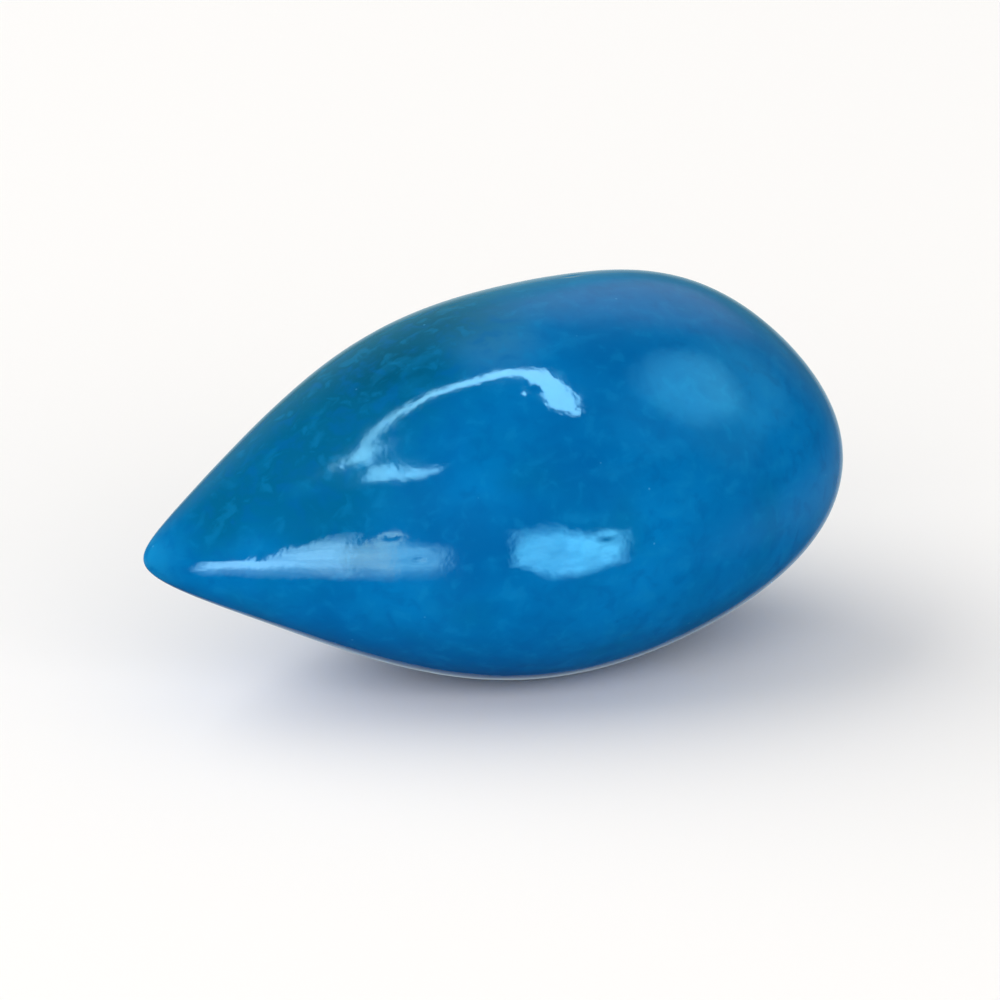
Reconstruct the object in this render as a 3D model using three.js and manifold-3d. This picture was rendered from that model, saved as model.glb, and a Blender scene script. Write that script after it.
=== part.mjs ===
// One sunflower kernel in a thick chocolate coat under a hard, polished sugar shell: a blunt
// teardrop, a little flatter than it is wide, that lies on its belly. It is one solid.
// Millimetres, +Z up. The long axis runs along X, with the blunt tip at -X and the round end
// at +X. The origin is the bottom centre of the seed's box, on the plane that it lies on.

import * as THREE from 'three';
import { mergeVertices } from 'three/addons/utils/BufferGeometryUtils.js';
import Module from 'manifold-3d';

// The seed is a ball of radius 1 whose slices across X are stretched. Each row below runs from
// the tip to the round end, and is blended smoothly along the length. A slice is as high and as
// wide as its row says times the ball's own radius there, so both ends stay round.
const LENGTH = 14.0;
const HALF_HEIGHTS = [1.3, 3.0, 4.0, 3.6, 3.6];
const HALF_WIDTHS = [1.5, 3.4, 4.5, 4.1, 4.1];

// How far the middle of a slice lies above (+Z) and beside (+Y) the straight long axis.
const CENTRE_RISE = [-0.2, -0.1, 0.4, -0.1];
const CENTRE_DRIFT = [0.15, -0.15, -0.1, 0.1];

// A slice is a little egg-shaped: by this share it is wider at the belly and narrower on top.
const BELLY_SPREAD = 0.12;

// The shell is uneven, as tumbled coats are. Each swell is a soft bump, or a hollow where its
// rise is negative. along goes from 0 at the tip to 1 at the round end, around is in degrees
// (0 at +Y, 90 on top, 180 at -Y), and reach is in radii of the ball.
const SWELLS = [
  { along: 0.36, around: 75, reach: 0.35, rise: 0.3 },
  { along: 0.55, around: 80, reach: 0.35, rise: -0.22 },
  { along: 0.84, around: 75, reach: 0.35, rise: 0.48 },
  { along: 0.18, around: 260, reach: 0.3, rise: -0.2 },
  { along: 0.8, around: 260, reach: 0.35, rise: -0.2 },
  { along: 0.4, around: 195, reach: 0.3, rise: 0.08 },
  { along: 0.62, around: 215, reach: 0.25, rise: -0.1 },
  { along: 0.7, around: 345, reach: 0.35, rise: 0.1 },
];

// The small flat spot that the seed rests on is cut this deep into its belly.
const REST_DEPTH = 0.15;

// Edges of the ball's twenty triangles are split this many times.
const EDGE_SPLITS = 13;

// A box this wide and high takes in all of the seed that lies above the flat spot.
const CUTTER_SIZE = 2 * LENGTH;

// Smooth blend of a row's values at the place u, from 0 at its first value to 1 at its last.
function blendRow(row, u) {
  let values = row;
  while (values.length > 1) {
    values = values.slice(1).map((value, i) => THREE.MathUtils.lerp(values[i], value, u));
  }
  return values[0];
}

// Point of the unit ball at a place along and around the seed.
function ballPoint(along, around) {
  const x = 2 * along - 1;
  const radius = Math.sqrt(1 - x * x);
  const angle = THREE.MathUtils.degToRad(around);
  return new THREE.Vector3(x, radius * Math.cos(angle), radius * Math.sin(angle));
}

// Height of all swells together at a point of the unit ball.
function swellHeight(point) {
  return SWELLS.reduce((sum, { along, around, reach, rise }) => {
    const nearness = point.dot(ballPoint(along, around)) - 1;
    return sum + rise * Math.exp(nearness / reach ** 2);
  }, 0);
}

// Moves a point of the unit ball to its place on the seed.
function stretch(point) {
  const u = (1 + point.x) / 2;
  const swell = swellHeight(point);
  const halfWidth = blendRow(HALF_WIDTHS, u) * (1 - BELLY_SPREAD * point.z) + swell;
  const halfHeight = blendRow(HALF_HEIGHTS, u) + swell;
  return new THREE.Vector3(
    (LENGTH / 2) * point.x,
    blendRow(CENTRE_DRIFT, u) + halfWidth * point.y,
    blendRow(CENTRE_RISE, u) + halfHeight * point.z,
  );
}

// The whole seed before the flat spot is cut.
function makeRoundSeed() {
  const geometry = new THREE.IcosahedronGeometry(1, EDGE_SPLITS);
  const positions = geometry.getAttribute('position');
  const point = new THREE.Vector3();
  for (let i = 0; i < positions.count; i += 1) {
    point.fromBufferAttribute(positions, i).normalize();
    positions.setXYZ(i, ...stretch(point).toArray());
  }
  return geometry;
}

// Closed geometry as a solid that can be cut.
function toSolid(wasm, geometry) {
  geometry.deleteAttribute('normal');
  geometry.deleteAttribute('uv');
  const merged = mergeVertices(geometry, 1e-5);
  return new wasm.Manifold(new wasm.Mesh({
    numProp: 3,
    vertProperties: new Float32Array(merged.getAttribute('position').array),
    triVerts: new Uint32Array(merged.index.array),
  }));
}

// Solid back as geometry, with normals.
function toGeometry(solid) {
  const { vertProperties, triVerts } = solid.getMesh();
  const geometry = new THREE.BufferGeometry();
  geometry.setAttribute('position', new THREE.BufferAttribute(vertProperties, 3));
  geometry.setIndex(new THREE.BufferAttribute(triVerts, 1));
  geometry.computeVertexNormals();
  return geometry;
}

// Cuts the flat spot: what is kept is the part of the seed inside a box that starts above the
// lowest point of the belly.
function cutRestSpot(wasm, roundSeed) {
  roundSeed.computeBoundingBox();
  const restHeight = roundSeed.boundingBox.min.z + REST_DEPTH;
  const cutter = new THREE.BoxGeometry(CUTTER_SIZE, CUTTER_SIZE, CUTTER_SIZE);
  cutter.translate(0, 0, restHeight + CUTTER_SIZE / 2);
  return toGeometry(toSolid(wasm, roundSeed).intersect(toSolid(wasm, cutter)));
}

// Sets the seed on the plane z = 0, with its box centred on the origin.
function setOnPlane(geometry) {
  geometry.computeBoundingBox();
  const box = geometry.boundingBox;
  const centre = box.getCenter(new THREE.Vector3());
  return geometry.translate(-centre.x, -centre.y, -box.min.z);
}

const wasm = await Module();
wasm.setup();

const sugarShell = new THREE.MeshStandardMaterial({
  name: 'sugar_shell',
  color: new THREE.Color(0x006dac),
  roughness: 0.18,
  metalness: 0,
});

const candySeed = new THREE.Mesh(setOnPlane(cutRestSpot(wasm, makeRoundSeed())), sugarShell);
candySeed.name = 'candy_seed';

const seed = new THREE.Group();
seed.add(candySeed);

export default seed;
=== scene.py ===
"""Looks of a candy-coated chocolate sunflower seed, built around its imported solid.

The seed lies along X with its blunt tip at -X, on the plane z = 0. Shapes are worked out in
millimetres on a unit ball and turned to metres when the mesh is made. The camera looks at the
seed from the side of -X and -Y, so that the tip points to the left and a little towards it.
"""

import math

import bmesh
import bpy
import numpy as np
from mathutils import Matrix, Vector, noise


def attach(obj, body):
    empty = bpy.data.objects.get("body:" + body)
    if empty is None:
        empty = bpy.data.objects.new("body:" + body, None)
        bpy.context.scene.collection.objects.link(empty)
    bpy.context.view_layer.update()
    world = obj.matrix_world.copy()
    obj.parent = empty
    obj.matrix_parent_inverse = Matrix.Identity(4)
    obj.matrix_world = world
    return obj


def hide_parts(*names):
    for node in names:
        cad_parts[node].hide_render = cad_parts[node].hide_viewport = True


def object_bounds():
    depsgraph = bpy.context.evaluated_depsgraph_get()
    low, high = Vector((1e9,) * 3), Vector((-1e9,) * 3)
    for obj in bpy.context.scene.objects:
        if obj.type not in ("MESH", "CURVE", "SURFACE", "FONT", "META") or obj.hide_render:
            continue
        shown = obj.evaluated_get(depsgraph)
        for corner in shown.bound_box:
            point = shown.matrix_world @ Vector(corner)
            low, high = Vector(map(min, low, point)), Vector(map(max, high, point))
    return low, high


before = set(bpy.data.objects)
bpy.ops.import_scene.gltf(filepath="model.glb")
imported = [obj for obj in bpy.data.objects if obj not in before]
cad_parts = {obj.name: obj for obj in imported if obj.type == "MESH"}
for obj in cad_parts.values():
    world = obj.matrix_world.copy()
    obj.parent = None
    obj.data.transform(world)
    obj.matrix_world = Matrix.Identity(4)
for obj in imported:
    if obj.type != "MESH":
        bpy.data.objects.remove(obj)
cad_low, cad_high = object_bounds()

NODE = "candy_seed"
SLOT = "sugar_shell"
MM = 0.001

# Form of the seed, as in its solid: rows from the tip to the round end, in millimetres.
LENGTH = (cad_high.x - cad_low.x) / MM
HALF_HEIGHTS = [1.3, 3.0, 4.0, 3.6, 3.6]
HALF_WIDTHS = [1.5, 3.4, 4.5, 4.1, 4.1]
CENTRE_RISE = [-0.2, -0.1, 0.4, -0.1]
CENTRE_DRIFT = [0.15, -0.15, -0.1, 0.1]
BELLY_SPREAD = 0.12

# Soft swells of the coat: place along (0 tip, 1 round end), place around in degrees (0 at +Y,
# 90 on top), reach in radii of the ball, and rise in millimetres.
SWELLS = [
    (0.36, 75, 0.35, 0.3),
    (0.55, 80, 0.35, -0.22),
    (0.84, 75, 0.35, 0.48),
    (0.18, 260, 0.3, -0.2),
    (0.8, 260, 0.35, -0.2),
    (0.4, 195, 0.3, 0.08),
    (0.62, 215, 0.25, -0.1),
    (0.7, 345, 0.35, 0.1),
]

# The ball starts as a cube with this many squares along an edge.
SQUARES = 120

# Relief of the sugar shell: size of its waves and how far they rise and fall, in millimetres.
BROAD_WAVE = (2.6, 0.006)
SMALL_WAVE = (0.55, 0.002)

# Pits left by the tumbling: how many, their radius on the ball, and their depth in millimetres.
PIT_COUNT = 60
PIT_RADII = (0.010, 0.030)
PIT_DEPTHS = (0.004, 0.012)
PIT_DRAW = 11

# Colours of the shell, as linear light: tones of the dye, and colours that paint light, shade and a
# sheen.
MAIN_BLUE = (0.0, 0.147, 0.418)
DEEP_BLUE = (0.0, 0.112, 0.350)
# Tone of the dye in its clouds, and painted light in patches on the round end and low by the tip.
BRIGHT_BLUE = (0.0, 0.175, 0.485)
# Tone of the dye in its clouds, and painted shade in patches on the flank towards the tip.
TEAL = (0.0, 0.098, 0.205)
# Painted shade on the upper flank.
PAINTED_SHADE_TEAL = (0.0, 0.074, 0.150)
PALE_BLUE = (0.004, 0.210, 0.500)
# Painted sheen on top: a greyish veil of reflection.
PAINTED_SHEEN_BLUE = (0.022, 0.190, 0.430)
# Paler tip: partly a painted highlight, partly a thinner coat.
TIP_BLUE = (0.006, 0.235, 0.520)
SPECK_BLUE = (0.05, 0.32, 0.62)

# Patches of other colour: place along, place around in degrees, radius in millimetres,
# colour, and how much of it shows in the middle. Teal ones on the flank towards the tip are
# painted shade, bright ones on the round end and low by the tip are painted light, the greyish
# one on top is a painted sheen, and the tip's is paler, partly a painted highlight and partly a
# thinner coat; the others are darker and lighter tones.
DYE_AND_PAINTED_LIGHT_PATCHES = [
    (0.13, 85, 2.2, TEAL, 0.6),
    (0.24, 84, 3.2, TEAL, 0.95),
    (0.36, 82, 3.2, TEAL, 0.85),
    (0.50, 62, 3.2, TEAL, 0.6),
    (0.51, 153, 1.3, DEEP_BLUE, 0.9),
    (0.60, 121, 1.6, DEEP_BLUE, 0.8),
    (0.37, 154, 1.2, BRIGHT_BLUE, 0.8),
    (0.35, 170, 1.0, DEEP_BLUE, 0.7),
    (0.18, 148, 1.5, TEAL, 0.4),
    (0.88, 165, 2.4, BRIGHT_BLUE, 0.8),
    (0.84, 148, 1.9, BRIGHT_BLUE, 1.0),
    (0.25, 196, 1.6, BRIGHT_BLUE, 0.7),
    (0.39, 232, 2.4, DEEP_BLUE, 0.8),
    (0.22, 140, 2.2, TEAL, 0.4),
    (0.46, 104, 1.3, PAINTED_SHEEN_BLUE, 0.9),
    (0.34, 94, 1.8, PAINTED_SHADE_TEAL, 0.85),
    (0.44, 92, 1.6, PAINTED_SHADE_TEAL, 0.7),
    (0.09, 118, 1.3, TEAL, 0.7),
    (0.0, 180, 1.1, TIP_BLUE, 0.9),
]

# Each part of a noise's colour lies about this value.
NOISE_MIDDLE = (0.5, 0.5, 0.5)

# Noise in the dye: size of its blotches in millimetres, detail, and distortion.
CLOUDS = (3.4, 3.0, 0.7)
TEAL_CLOUDS = (2.3, 2.0)
STREAKS = (0.45, 3.0, 0.3)
MOTTLE = (0.35, 5.0, 0.4)

# Where each of them shows: two values of the noise, and how much of the dye shows at each.
CLOUDS_FROM_DEEP = (0.30, 0.50)
CLOUDS_TO_BRIGHT = (0.50, 0.72)
TEAL_CLOUDS_SHOW = (0.5, 0.75, 0.0, 0.35)
STREAKS_SHOW = (0.52, 0.78, 0.0, 0.3)
DARK_MOTTLE_SHOWS = (0.48, 0.70, 0.0, 0.5)
PALE_MOTTLE_SHOWS = (0.30, 0.46, 0.3, 0.0)

# Patches, teal clouds and streaks wander: size of the noise that moves them in millimetres, its
# detail, and how far it moves them in millimetres.
WANDER = (1.2, 3.0, 0.5)

# Streaks of dye run along the seed, because their noise is squeezed along X.
STREAK_STRETCH = (0.25, 1.0, 1.0)

# Pale specks in the dye and pinholes in the sugar: how far apart, and their radius, in
# millimetres; then where in a spot they show, and how much.
SPECKS = (0.7, 0.045)
SPECKS_SHOW = (0.2, 1.0, 0.0, 0.6)
PINHOLES = (1.1, 0.07)
PINHOLES_SHOW = (0.0, 1.0, 0.0, 0.5)

# Roughness of the shell where it is well polished and where it is dull, the noise of the dull
# patches, and the noise values between which the polish fades.
POLISHED = 0.05
DULLED = 0.11
DULL_PATCHES = (1.9, 4.0, 0.5)
POLISH_FADES = (0.4, 0.75)

# Bump of the sugar, in millimetres: sizes of the orange peel and of the grain, and the depths of
# both and of the pinholes.
PEEL_SIZE = 0.3
PEEL_DEPTH = 0.003
GRAIN_SIZE = 0.08
GRAIN_DETAIL = 3.0
GRAIN_DEPTH = 0.0006
PINHOLE_DEPTH = 0.004

# Gloss of the shell, which the dye tints, and light that soaks into the sugar: its share, how far
# red, green and blue reach, and the depth that they are shares of, in millimetres.
GLOSS_LEVEL = 0.8
GLOSS_TINT = (0.28, 0.75, 1.0)
SOAK_SHARE = 0.08
SOAK_REACH = (0.3, 0.6, 1.0)
SOAK_DEPTH = 0.5

# Pale floor: from its middle to its edge in metres, colour, and roughness.
FLOOR_REACH = 1.5
FLOOR_COLOUR = (0.9, 0.9, 0.9)
FLOOR_ROUGHNESS = 0.9

# Where the camera stands round the seed and above the floor, in degrees. The lamps stand round
# the seed in the camera's terms.
CAMERA_AZIMUTH = -28.0
CAMERA_ELEVATION = 20.0

# Lens and sensor in millimetres, distances between which the camera sees in metres, width of the
# frame at the seed in millimetres, and the frame's shift to the right and up in millimetres.
CAMERA_LENS = 1000.0
CAMERA_SENSOR = 36.0
CAMERA_CLIP = (0.01, 10.0)
FRAME_WIDTH = 18.2
FRAME_SHIFT = (0.15, -0.35)

# How far the lamps are from the seed, and how high the tube hangs over it, in metres.
LAMP_DISTANCE = 0.6

# A bent lamp tube overhead, which only the gloss shows. Each knot gives its place to the right
# of the camera's view and towards the camera, and the tube's width, as shares of its height.
TUBE_KNOTS = [
    (-0.07, 0.74, 0.02),
    (-0.13, 0.76, 0.075),
    (-0.20, 0.71, 0.05),
    (-0.255, 0.64, 0.09),
    (-0.30, 0.47, 0.006),
    (-0.34, 0.33, 0.10),
    (-0.34, 0.21, 0.03),
    (-0.27, 0.03, 0.044),
    (-0.10, -0.07, 0.06),
    (0.02, -0.12, 0.07),
    (0.14, -0.10, 0.08),
    (0.25, 0.04, 0.12),
    (0.35, 0.17, 0.16),
    (0.46, 0.27, 0.05),
]
TUBE_COLOUR = (9.7, 10.2, 10.5)
TUBE_ROUNDNESS = 3

# Windows low in front, which only the gloss shows: colour, how many degrees the faint foot under
# the window reaches down, and corners above and below, in degrees to the right of the camera's
# side and above the floor.
WINDOWS = {
    "window_left": (
        (11.0, 8.8, 8.8),
        14,
        [(-24, 3), (-19.5, 2), (-18, 16), (-16, 22), (-12, 22)],
        [(-10.5, -3), (-12, -4), (-16, -6), (-21, -14), (-27, -26)],
    ),
    "window_warm": (
        (8.4, 5.4, 3.9),
        11,
        [(-13.5, 16), (-10, 16), (-8, 23), (-5.5, 20)],
        [(-5, -5), (-6.5, -5), (-12.5, -4), (-14, -3)],
    ),
    "window_middle": (
        (4.8, 4.8, 4.7),
        9,
        [(-7.5, 20), (-4, 15), (1, 13.5), (2.5, 10)],
        [(2.5, -2), (0.5, -2.5), (-6.5, -4.5), (-8, -4)],
    ),
    "left_pane": (
        (4.2, 6.8, 7.6),
        0,
        [(16, 18), (24, 19), (30, 16)],
        [(31, -14), (25, -12), (19, -4), (16, -3)],
    ),
    "right_pane": (
        (5.2, 8.6, 9.8),
        0,
        [(27.5, 15), (34, 13), (49, 6)],
        [(51, -13), (36, -17), (28, -14)],
    ),
}

# A window is even out to the first share of the way from its middle to its corners, and fades
# out to the second.
WINDOW_EVEN = 0.6
WINDOW_EDGE = 1.15

# Cover of a window where its foot starts, the size of its blotches in millimetres, and two values
# of their noise with how much of the window shows at each.
FOOT_COVER = 0.4
WINDOW_BLOTCH = 60.0
BLOTCHES_SHOW = (0.35, 0.6, 0.7, 1.0)

# Soft boxes that only light: degrees right of the camera's side and above the floor, width and
# height in degrees, radiance, and colour.
SOFT_BOXES = [
    ("key", -105, 38, 76, 60, 1.7, (0.99, 0.96, 0.93)),
    ("fill", 6, 28, 90, 36, 2.08, (1.0, 0.93, 0.89)),
]

# Surroundings as they light the seed, and as its gloss shows them.
WORLD_LIGHT = (0.50, 0.51, 0.51)
WORLD_GLOSS = (0.02, 0.02, 0.02)

# Soft glows that the gloss shows in the surroundings: degrees right of the camera's side and
# above the floor, how many degrees from its middle a glow starts to fade and ends, and colour.
GLOWS = [
    (178, 26, 4, 52, (0.13, 0.34, 0.29)),
    (162, 32, 0, 24, (0.34, 0.16, 0.16)),
    (107, 42, 3, 19, (0.58, 1.80, 2.10)),
    (120, 27, 0, 20, (0.12, 0.50, 0.50)),
    (84, 44, 0, 20, (0.1, 0.45, 0.6)),
    (98, 25, 0, 18, (0.12, 0.60, 0.65)),
    (180, -20, 6, 26, (0.30, 0.32, 0.33)),
]

# Pale horizon that the gloss shows all round but on the camera's side: its colour, the sines of
# the elevations between which it grows from below and fades above, and the cosines of the angles
# from straight behind the seed between which it grows.
HORIZON = (0.10, 0.18, 0.22)
HORIZON_BELOW = (-0.60, -0.35)
HORIZON_ABOVE = (-0.34, -0.02)
HORIZON_SIDES = (-0.6, 0.2)


def blend_row(row, u):
    """Smooth blend of a row's values at u, from 0 at its first value to 1 at its last."""
    values = [value + 0 * u for value in row]
    while len(values) > 1:
        values = [a + (b - a) * u for a, b in zip(values, values[1:])]
    return values[0]


def ball_point(along, around):
    """Point of the unit ball at a place along and around the seed."""
    x = 2 * along - 1
    radius = math.sqrt(1 - x * x)
    angle = math.radians(around)
    return np.array([x, radius * math.cos(angle), radius * math.sin(angle)])


def stretch(ball):
    """Points of the unit ball moved to their places on the seed, in millimetres."""
    u = (1 + ball[:, 0]) / 2
    swell = np.zeros(len(ball))
    for along, around, reach, rise in SWELLS:
        nearness = ball @ ball_point(along, around) - 1
        swell += rise * np.exp(nearness / reach**2)
    half_width = blend_row(HALF_WIDTHS, u) * (1 - BELLY_SPREAD * ball[:, 2]) + swell
    half_height = blend_row(HALF_HEIGHTS, u) + swell
    x = LENGTH / 2 * ball[:, 0]
    y = blend_row(CENTRE_DRIFT, u) + half_width * ball[:, 1]
    z = blend_row(CENTRE_RISE, u) + half_height * ball[:, 2]
    return np.stack([x, y, z], axis=1)


def find_seat(points):
    """Move that puts the points where the solid lies: on its box sideways, and under its top."""
    middle = (points.min(0) + points.max(0)) / 2
    cad_middle = np.array((cad_low + cad_high) / 2) / MM
    seat = cad_middle - middle
    seat[2] = cad_high.z / MM - points[:, 2].max()
    return seat


def make_ball():
    """Unit ball of even squares, as a mesh."""
    mesh = bpy.data.meshes.new(SLOT)
    grid = bmesh.new()
    bmesh.ops.create_cube(grid, size=2)
    bmesh.ops.subdivide_edges(grid, edges=grid.edges[:], cuts=SQUARES - 1, use_grid_fill=True)
    for vertex in grid.verts:
        even = [math.tan(value * math.pi / 4) for value in vertex.co]
        vertex.co = Vector(even).normalized()
    grid.to_mesh(mesh)
    grid.free()
    return mesh


def read_points(mesh):
    """Vertices of a mesh as an array."""
    flat = np.zeros(len(mesh.vertices) * 3)
    mesh.vertices.foreach_get("co", flat)
    return flat.reshape(-1, 3)


def write_points(mesh, points):
    """Puts an array back as the vertices of a mesh."""
    mesh.vertices.foreach_set("co", points.ravel())
    mesh.update()


def read_normals(mesh):
    """Vertex normals of a mesh as an array."""
    flat = np.zeros(len(mesh.vertices) * 3)
    mesh.vertex_normals.foreach_get("vector", flat)
    return flat.reshape(-1, 3)


def waves(points, size, rise):
    """Smooth random rise and fall with waves of about one size."""
    heights = [noise.noise(Vector(point / size)) for point in points]
    return rise * np.array(heights)


def pits(ball):
    """Small round pits, scattered over the ball, as depths below the surface."""
    draw = np.random.default_rng(PIT_DRAW)
    depth = np.zeros(len(ball))
    for _ in range(PIT_COUNT):
        middle = draw.normal(size=3)
        middle /= np.linalg.norm(middle)
        radius = draw.uniform(*PIT_RADII)
        deep = draw.uniform(*PIT_DEPTHS)
        apart = np.linalg.norm(ball - middle, axis=1) / radius
        depth = np.maximum(depth, deep * np.exp(-(apart**2)))
    return depth


def make_seed():
    """The whole seed as one closed, smooth mesh on its flat spot."""
    mesh = make_ball()
    ball = read_points(mesh)
    points = stretch(ball)
    seat = find_seat(points)
    points += seat
    write_points(mesh, points)
    relief = waves(points, *BROAD_WAVE) + waves(points, *SMALL_WAVE) - pits(ball)
    points += read_normals(mesh) * relief[:, None]
    points[:, 2] = np.maximum(points[:, 2], cad_low.z / MM)
    write_points(mesh, points * MM)
    mesh.shade_smooth()
    seed = bpy.data.objects.new("seed_shell", mesh)
    bpy.context.scene.collection.objects.link(seed)
    mesh.materials.append(make_shell_material(seat))
    return seed


def add_node(tree, kind, inputs=None, **settings):
    """New shader node with its settings, and its input sockets set by name."""
    node = tree.nodes.new(kind)
    for name, value in settings.items():
        setattr(node, name, value)
    for name, value in (inputs or {}).items():
        node.inputs[name].default_value = value
    return node


def add_noise(tree, place, size, detail=2.0, distortion=0.0):
    """Noise whose blotches are about one size, in millimetres. Gives its value socket."""
    inputs = {"Scale": 1 / (size * MM), "Detail": detail, "Distortion": distortion}
    node = add_node(tree, "ShaderNodeTexNoise", inputs)
    tree.links.new(place, node.inputs["Vector"])
    return node.outputs["Fac"]


def add_range(tree, value, low, high, to_low=0.0, to_high=1.0):
    """Value moved smoothly from one range to another. Gives the value socket."""
    inputs = {"From Min": low, "From Max": high, "To Min": to_low, "To Max": to_high}
    node = add_node(tree, "ShaderNodeMapRange", inputs, interpolation_type="SMOOTHSTEP")
    tree.links.new(value, node.inputs["Value"])
    return node.outputs["Result"]


def add_mix(tree, share, first, second):
    """Colour between two, each given as a colour or as a socket. Gives the colour socket."""
    node = add_node(tree, "ShaderNodeMix", data_type="RGBA")
    tree.links.new(share, node.inputs[0])
    for socket, colour in ((node.inputs[6], first), (node.inputs[7], second)):
        if isinstance(colour, tuple):
            socket.default_value = (*colour, 1)
        else:
            tree.links.new(colour, socket)
    return node.outputs[2]


def add_spots(tree, place, spacing, radius):
    """Small round spots: 1 in the middle of each and 0 away from them. Gives the value socket."""
    node = add_node(tree, "ShaderNodeTexVoronoi", {"Scale": 1 / (spacing * MM)})
    tree.links.new(place, node.inputs["Vector"])
    return add_range(tree, node.outputs["Distance"], 0.0, radius / spacing, 1.0, 0.0)


def add_bump(tree, height, depth, below=None):
    """Bump of a depth in millimetres, on top of another one. Gives the normal socket."""
    node = add_node(tree, "ShaderNodeBump", {"Strength": 1.0, "Distance": depth * MM})
    tree.links.new(height, node.inputs["Height"])
    if below is not None:
        tree.links.new(below, node.inputs["Normal"])
    return node.outputs["Normal"]


def add_patch(tree, place, middle, radius, share, below, colour):
    """Soft round patch of another colour on top of a colour. Gives the colour socket."""
    apart = add_node(tree, "ShaderNodeVectorMath", operation="DISTANCE")
    tree.links.new(place, apart.inputs[0])
    apart.inputs[1].default_value = middle
    cover = add_range(tree, apart.outputs["Value"], 0.0, radius, share, 0.0)
    return add_mix(tree, cover, below, colour)


def add_wander(tree, place, size, detail, reach):
    """Place moved about by noise, so that what it shapes isn't regular. Gives the vector socket."""
    wander = add_node(tree, "ShaderNodeTexNoise", {"Scale": 1 / (size * MM), "Detail": detail})
    tree.links.new(place, wander.inputs["Vector"])
    centred = add_node(tree, "ShaderNodeVectorMath", operation="SUBTRACT")
    tree.links.new(wander.outputs["Color"], centred.inputs[0])
    centred.inputs[1].default_value = NOISE_MIDDLE
    moved = add_node(tree, "ShaderNodeVectorMath", operation="MULTIPLY_ADD")
    tree.links.new(centred.outputs["Vector"], moved.inputs[0])
    moved.inputs[1].default_value = [2 * reach * MM] * 3
    tree.links.new(place, moved.inputs[2])
    return moved.outputs["Vector"]


def shell_colour(tree, place, seat):
    """Blue shell colour, a little uneven: broad clouds, faint streaks along the seed, a fine
    mottle, pale specks and dark pinholes, and patches: teal ones on the flank towards the tip are
    painted shade, bright ones on the round end and low by the tip are painted light, one on top is
    a painted sheen, and the paler tip is partly a painted highlight."""
    cloud = add_noise(tree, place, *CLOUDS)
    colour = add_mix(tree, add_range(tree, cloud, *CLOUDS_FROM_DEEP), DEEP_BLUE, MAIN_BLUE)
    colour = add_mix(tree, add_range(tree, cloud, *CLOUDS_TO_BRIGHT), colour, BRIGHT_BLUE)
    wandering = add_wander(tree, place, *WANDER)
    teal_cloud = add_noise(tree, wandering, *TEAL_CLOUDS)
    colour = add_mix(tree, add_range(tree, teal_cloud, *TEAL_CLOUDS_SHOW), colour, TEAL)
    # Patches of darker and lighter tones, painted shade, painted light, a painted sheen and a paler
    # tip.
    for along, around, radius, patch_colour, share in DYE_AND_PAINTED_LIGHT_PATCHES:
        middle = stretch(ball_point(along, around)[None])[0] + seat
        colour = add_patch(tree, wandering, middle * MM, radius * MM, share, colour, patch_colour)
    drawn_out = add_node(tree, "ShaderNodeVectorMath", operation="MULTIPLY")
    tree.links.new(wandering, drawn_out.inputs[0])
    drawn_out.inputs[1].default_value = STREAK_STRETCH
    streaks = add_noise(tree, drawn_out.outputs["Vector"], *STREAKS)
    colour = add_mix(tree, add_range(tree, streaks, *STREAKS_SHOW), colour, PALE_BLUE)
    mottle = add_noise(tree, place, *MOTTLE)
    colour = add_mix(tree, add_range(tree, mottle, *DARK_MOTTLE_SHOWS), colour, DEEP_BLUE)
    colour = add_mix(tree, add_range(tree, mottle, *PALE_MOTTLE_SHOWS), colour, PALE_BLUE)
    specks = add_range(tree, add_spots(tree, place, *SPECKS), *SPECKS_SHOW)
    colour = add_mix(tree, specks, colour, SPECK_BLUE)
    holes = add_range(tree, add_spots(tree, place, *PINHOLES), *PINHOLES_SHOW)
    return add_mix(tree, holes, colour, DEEP_BLUE)


def shell_roughness(tree, place):
    """Polish that is duller in soft patches."""
    patches = add_noise(tree, place, *DULL_PATCHES)
    return add_range(tree, patches, *POLISH_FADES, POLISHED, DULLED)


def shell_bump(tree, place):
    """Fine unevenness of the sugar: a soft orange peel, a grain and pinholes."""
    peel = add_bump(tree, add_noise(tree, place, PEEL_SIZE), PEEL_DEPTH)
    grains = add_noise(tree, place, GRAIN_SIZE, GRAIN_DETAIL)
    grain = add_bump(tree, grains, GRAIN_DEPTH, peel)
    return add_bump(tree, add_spots(tree, place, *PINHOLES), -PINHOLE_DEPTH, grain)


def make_shell_material(seat):
    """Polished blue sugar shell."""
    material = bpy.data.materials.new(SLOT)
    material.use_nodes = True
    tree = material.node_tree
    shader = tree.nodes["Principled BSDF"]
    place = add_node(tree, "ShaderNodeTexCoord").outputs["Object"]
    tree.links.new(shell_colour(tree, place, seat), shader.inputs["Base Color"])
    tree.links.new(shell_roughness(tree, place), shader.inputs["Roughness"])
    tree.links.new(shell_bump(tree, place), shader.inputs["Normal"])
    shader.inputs["Specular IOR Level"].default_value = GLOSS_LEVEL
    shader.inputs["Specular Tint"].default_value = (*GLOSS_TINT, 1)
    shader.inputs["Subsurface Weight"].default_value = SOAK_SHARE
    shader.inputs["Subsurface Radius"].default_value = SOAK_REACH
    shader.inputs["Subsurface Scale"].default_value = SOAK_DEPTH * MM
    return material


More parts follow.
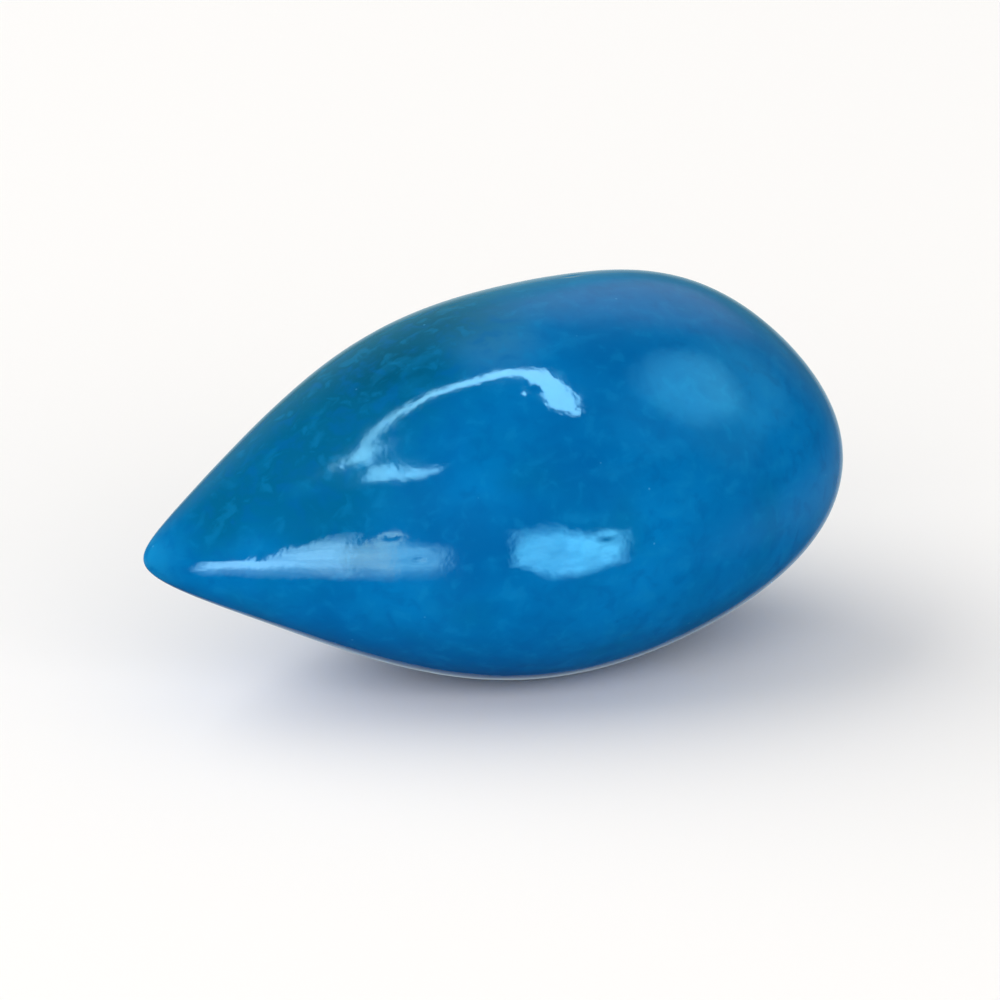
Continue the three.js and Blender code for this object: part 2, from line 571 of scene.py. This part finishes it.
def make_floor():
    """Plain pale floor, which the gloss doesn't show."""
    mesh = bpy.data.meshes.new("floor")
    sides = [(-1, -1), (1, -1), (1, 1), (-1, 1)]
    corners = [(x * FLOOR_REACH, y * FLOOR_REACH, 0) for x, y in sides]
    mesh.from_pydata(corners, [], [(0, 1, 2, 3)])
    floor = bpy.data.objects.new("floor", mesh)
    bpy.context.scene.collection.objects.link(floor)
    material = bpy.data.materials.new("floor")
    material.use_nodes = True
    shader = material.node_tree.nodes["Principled BSDF"]
    shader.inputs["Base Color"].default_value = (*FLOOR_COLOUR, 1)
    shader.inputs["Roughness"].default_value = FLOOR_ROUGHNESS
    shader.inputs["Specular IOR Level"].default_value = 0.0
    mesh.materials.append(material)
    floor.visible_glossy = False


def turned(right, front, up):
    """Vector from parts to the right of the camera's view, towards the camera and up."""
    angle = math.radians(CAMERA_AZIMUTH)
    rightward = Vector((math.cos(angle), math.sin(angle), 0))
    forward = Vector((math.sin(angle), -math.cos(angle), 0))
    return rightward * right + forward * front + Vector((0, 0, up))


def aimed(azimuth, elevation):
    """Direction from the seed, in degrees right of the camera's side and above the floor."""
    a, e = math.radians(azimuth), math.radians(elevation)
    return turned(math.sin(a) * math.cos(e), math.cos(a) * math.cos(e), math.sin(e))


def stage_lamp(name, data, colour, fades=False):
    """Puts a shining mesh or curve in the scene, where only the gloss shows it. One that fades
    is as see-through as its cover attribute says, with soft blotches."""
    material = bpy.data.materials.new(name)
    material.use_nodes = True
    tree = material.node_tree
    shader = tree.nodes["Principled BSDF"]
    shader.inputs["Base Color"].default_value = (0, 0, 0, 1)
    shader.inputs["Emission Color"].default_value = (*colour, 1)
    shader.inputs["Emission Strength"].default_value = 1.0
    if fades:
        place = add_node(tree, "ShaderNodeTexCoord").outputs["Object"]
        blotches = add_range(tree, add_noise(tree, place, WINDOW_BLOTCH), *BLOTCHES_SHOW)
        cover = add_node(tree, "ShaderNodeAttribute", attribute_name="cover")
        product = add_node(tree, "ShaderNodeMath", operation="MULTIPLY")
        tree.links.new(cover.outputs["Fac"], product.inputs[0])
        tree.links.new(blotches, product.inputs[1])
        tree.links.new(product.outputs["Value"], shader.inputs["Alpha"])
    material.cycles.emission_sampling = "NONE"  # it lights nothing, so no ray is aimed at it
    data.materials.append(material)
    lamp = bpy.data.objects.new(name, data)
    bpy.context.scene.collection.objects.link(lamp)
    lamp.visible_camera = False
    lamp.visible_diffuse = False
    lamp.visible_shadow = False


def make_tube(middle):
    """Bent lamp tube overhead, which shows as a thin bright arc in the shell."""
    data = bpy.data.curves.new("lamp_tube", "CURVE")
    data.dimensions = "3D"
    data.bevel_depth = 1.0  # so that a knot's radius is the tube's own
    data.bevel_resolution = TUBE_ROUNDNESS
    data.use_fill_caps = True
    spline = data.splines.new("BEZIER")
    spline.bezier_points.add(len(TUBE_KNOTS) - 1)
    for knot, (right, front, width) in zip(spline.bezier_points, TUBE_KNOTS):
        knot.co = middle + turned(right, front, 1) * LAMP_DISTANCE
        knot.radius = width / 2 * LAMP_DISTANCE
        knot.handle_left_type = "AUTO"
        knot.handle_right_type = "AUTO"
    stage_lamp("lamp_tube", data, TUBE_COLOUR)


def make_window(name, middle, colour, foot, above, below):
    """Window with the given corners, even in the middle and soft at its edge. Where it has a
    foot, its lower edge stays faint and fades over the foot, but for the edge's two ends."""
    rim = [aimed(*corner) * LAMP_DISTANCE for corner in above + below]
    count = len(rim)
    centre = sum(rim, Vector()) / count
    points = [centre + (point - centre) * WINDOW_EVEN for point in rim]
    points += [centre + (point - centre) * WINDOW_EDGE for point in rim]
    covers = [1.0] * count + [0.0] * count
    faces = [range(count)]
    for i in range(count):
        j = (i + 1) % count
        faces.append((i, j, count + j, count + i))
    if foot:
        # The lower edge's outer corners are these points.
        first, last = count + len(above), 2 * count - 1
        drop = Vector((0, 0, LAMP_DISTANCE * math.sin(math.radians(foot))))
        points += [point - drop for point in points[first:]]
        for i in range(first, last):
            faces.append((i, i + 1, i + 1 + len(below), i + len(below)))
        covers[first + 1:last] = [FOOT_COVER] * (len(below) - 2)
        covers += [0.0] * len(below)
    data = bpy.data.meshes.new(name)
    data.from_pydata([middle + point for point in points], [], faces)
    cover = data.attributes.new("cover", "FLOAT", "POINT")
    cover.data.foreach_set("value", covers)
    stage_lamp(name, data, colour, fades=True)


def make_soft_box(name, middle, azimuth, elevation, wide, tall, radiance, colour):
    """Flat lamp that faces the seed and lights it without a highlight."""
    size = [2 * LAMP_DISTANCE * math.tan(math.radians(angle / 2)) for angle in (wide, tall)]
    light = bpy.data.lights.new(name, "AREA")
    light.shape = "RECTANGLE"
    light.size, light.size_y = size
    light.energy = radiance * math.pi * size[0] * size[1]
    light.color = colour
    lamp = bpy.data.objects.new(name, light)
    direction = aimed(azimuth, elevation)
    lamp.location = middle + direction * LAMP_DISTANCE
    lamp.rotation_mode = "QUATERNION"
    lamp.rotation_quaternion = direction.to_track_quat("Z", "Y")
    lamp.visible_camera = False
    lamp.visible_glossy = False
    bpy.context.scene.collection.objects.link(lamp)


def make_lights(middle):
    """Lamps that only the gloss shows, and soft boxes that only light."""
    make_tube(middle)
    for name, setting in WINDOWS.items():
        make_window(name, middle, *setting)
    for name, *setting in SOFT_BOXES:
        make_soft_box(name, middle, *setting)


def add_glow(tree, way, azimuth, elevation, inner, outer, colour):
    """Soft round glow in the surroundings. Gives its colour as a vector socket."""
    aim = add_node(tree, "ShaderNodeVectorMath", operation="DOT_PRODUCT")
    tree.links.new(way, aim.inputs[0])
    aim.inputs[1].default_value = aimed(azimuth, elevation)
    edges = math.cos(math.radians(outer)), math.cos(math.radians(inner))
    share = add_range(tree, aim.outputs["Value"], *edges)
    glow = add_node(tree, "ShaderNodeVectorMath", operation="SCALE")
    glow.inputs[0].default_value = colour
    tree.links.new(share, glow.inputs["Scale"])
    return glow.outputs["Vector"]


def add_horizon(tree, way):
    """Soft pale band round the horizon. Gives its colour as a vector socket."""
    height = add_node(tree, "ShaderNodeSeparateXYZ")
    tree.links.new(way, height.inputs[0])
    aim = add_node(tree, "ShaderNodeVectorMath", operation="DOT_PRODUCT")
    tree.links.new(way, aim.inputs[0])
    aim.inputs[1].default_value = aimed(180, 0)
    shares = [
        add_range(tree, height.outputs["Z"], *HORIZON_BELOW),
        add_range(tree, height.outputs["Z"], *HORIZON_ABOVE, 1.0, 0.0),
        add_range(tree, aim.outputs["Value"], *HORIZON_SIDES),
    ]
    band = HORIZON
    for share in shares:
        dimmed = add_node(tree, "ShaderNodeVectorMath", operation="SCALE")
        if isinstance(band, tuple):
            dimmed.inputs[0].default_value = band
        else:
            tree.links.new(band, dimmed.inputs[0])
        tree.links.new(share, dimmed.inputs["Scale"])
        band = dimmed.outputs["Vector"]
    return band


def make_world():
    """Pale surroundings that light the seed all round, and that its gloss shows as dark ones
    with a pale horizon and soft glows."""
    world = bpy.data.worlds.new("studio")
    world.use_nodes = True
    tree = world.node_tree
    way = add_node(tree, "ShaderNodeTexCoord").outputs["Generated"]
    total = add_node(tree, "ShaderNodeVectorMath", operation="ADD")
    total.inputs[0].default_value = WORLD_GLOSS
    tree.links.new(add_horizon(tree, way), total.inputs[1])
    for setting in GLOWS:
        more = add_node(tree, "ShaderNodeVectorMath", operation="ADD")
        tree.links.new(total.outputs["Vector"], more.inputs[0])
        tree.links.new(add_glow(tree, way, *setting), more.inputs[1])
        total = more
    lighting = tree.nodes["Background"]
    lighting.inputs["Color"].default_value = (*WORLD_LIGHT, 1)
    shown = add_node(tree, "ShaderNodeBackground")
    tree.links.new(total.outputs["Vector"], shown.inputs["Color"])
    either = add_node(tree, "ShaderNodeMixShader")
    tree.links.new(add_node(tree, "ShaderNodeLightPath").outputs["Is Glossy Ray"], either.inputs[0])
    tree.links.new(lighting.outputs[0], either.inputs[1])
    tree.links.new(shown.outputs[0], either.inputs[2])
    tree.links.new(either.outputs[0], tree.nodes["World Output"].inputs["Surface"])
    bpy.context.scene.world = world


def make_camera(middle):
    """Long lens at the photograph's angle, framed on the seed."""
    data = bpy.data.cameras.new("camera")
    data.lens = CAMERA_LENS
    data.sensor_width = CAMERA_SENSOR
    camera = bpy.data.objects.new("camera", data)
    bpy.context.scene.collection.objects.link(camera)
    elevation = math.radians(CAMERA_ELEVATION)
    back = turned(0, math.cos(elevation), math.sin(elevation))
    distance = FRAME_WIDTH * MM * CAMERA_LENS / CAMERA_SENSOR
    rotation = back.to_track_quat("Z", "Y")
    shift = rotation @ Vector((FRAME_SHIFT[0] * MM, FRAME_SHIFT[1] * MM, 0))
    camera.location = middle + back * distance + shift
    camera.rotation_mode = "QUATERNION"
    camera.rotation_quaternion = rotation
    data.clip_start, data.clip_end = CAMERA_CLIP
    bpy.context.scene.camera = camera


seed = make_seed()
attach(seed, "root")
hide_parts(NODE)

middle = (cad_low + cad_high) / 2
make_floor()
make_lights(middle)
make_world()
make_camera(middle)
bpy.context.scene.view_settings.view_transform = "Standard"
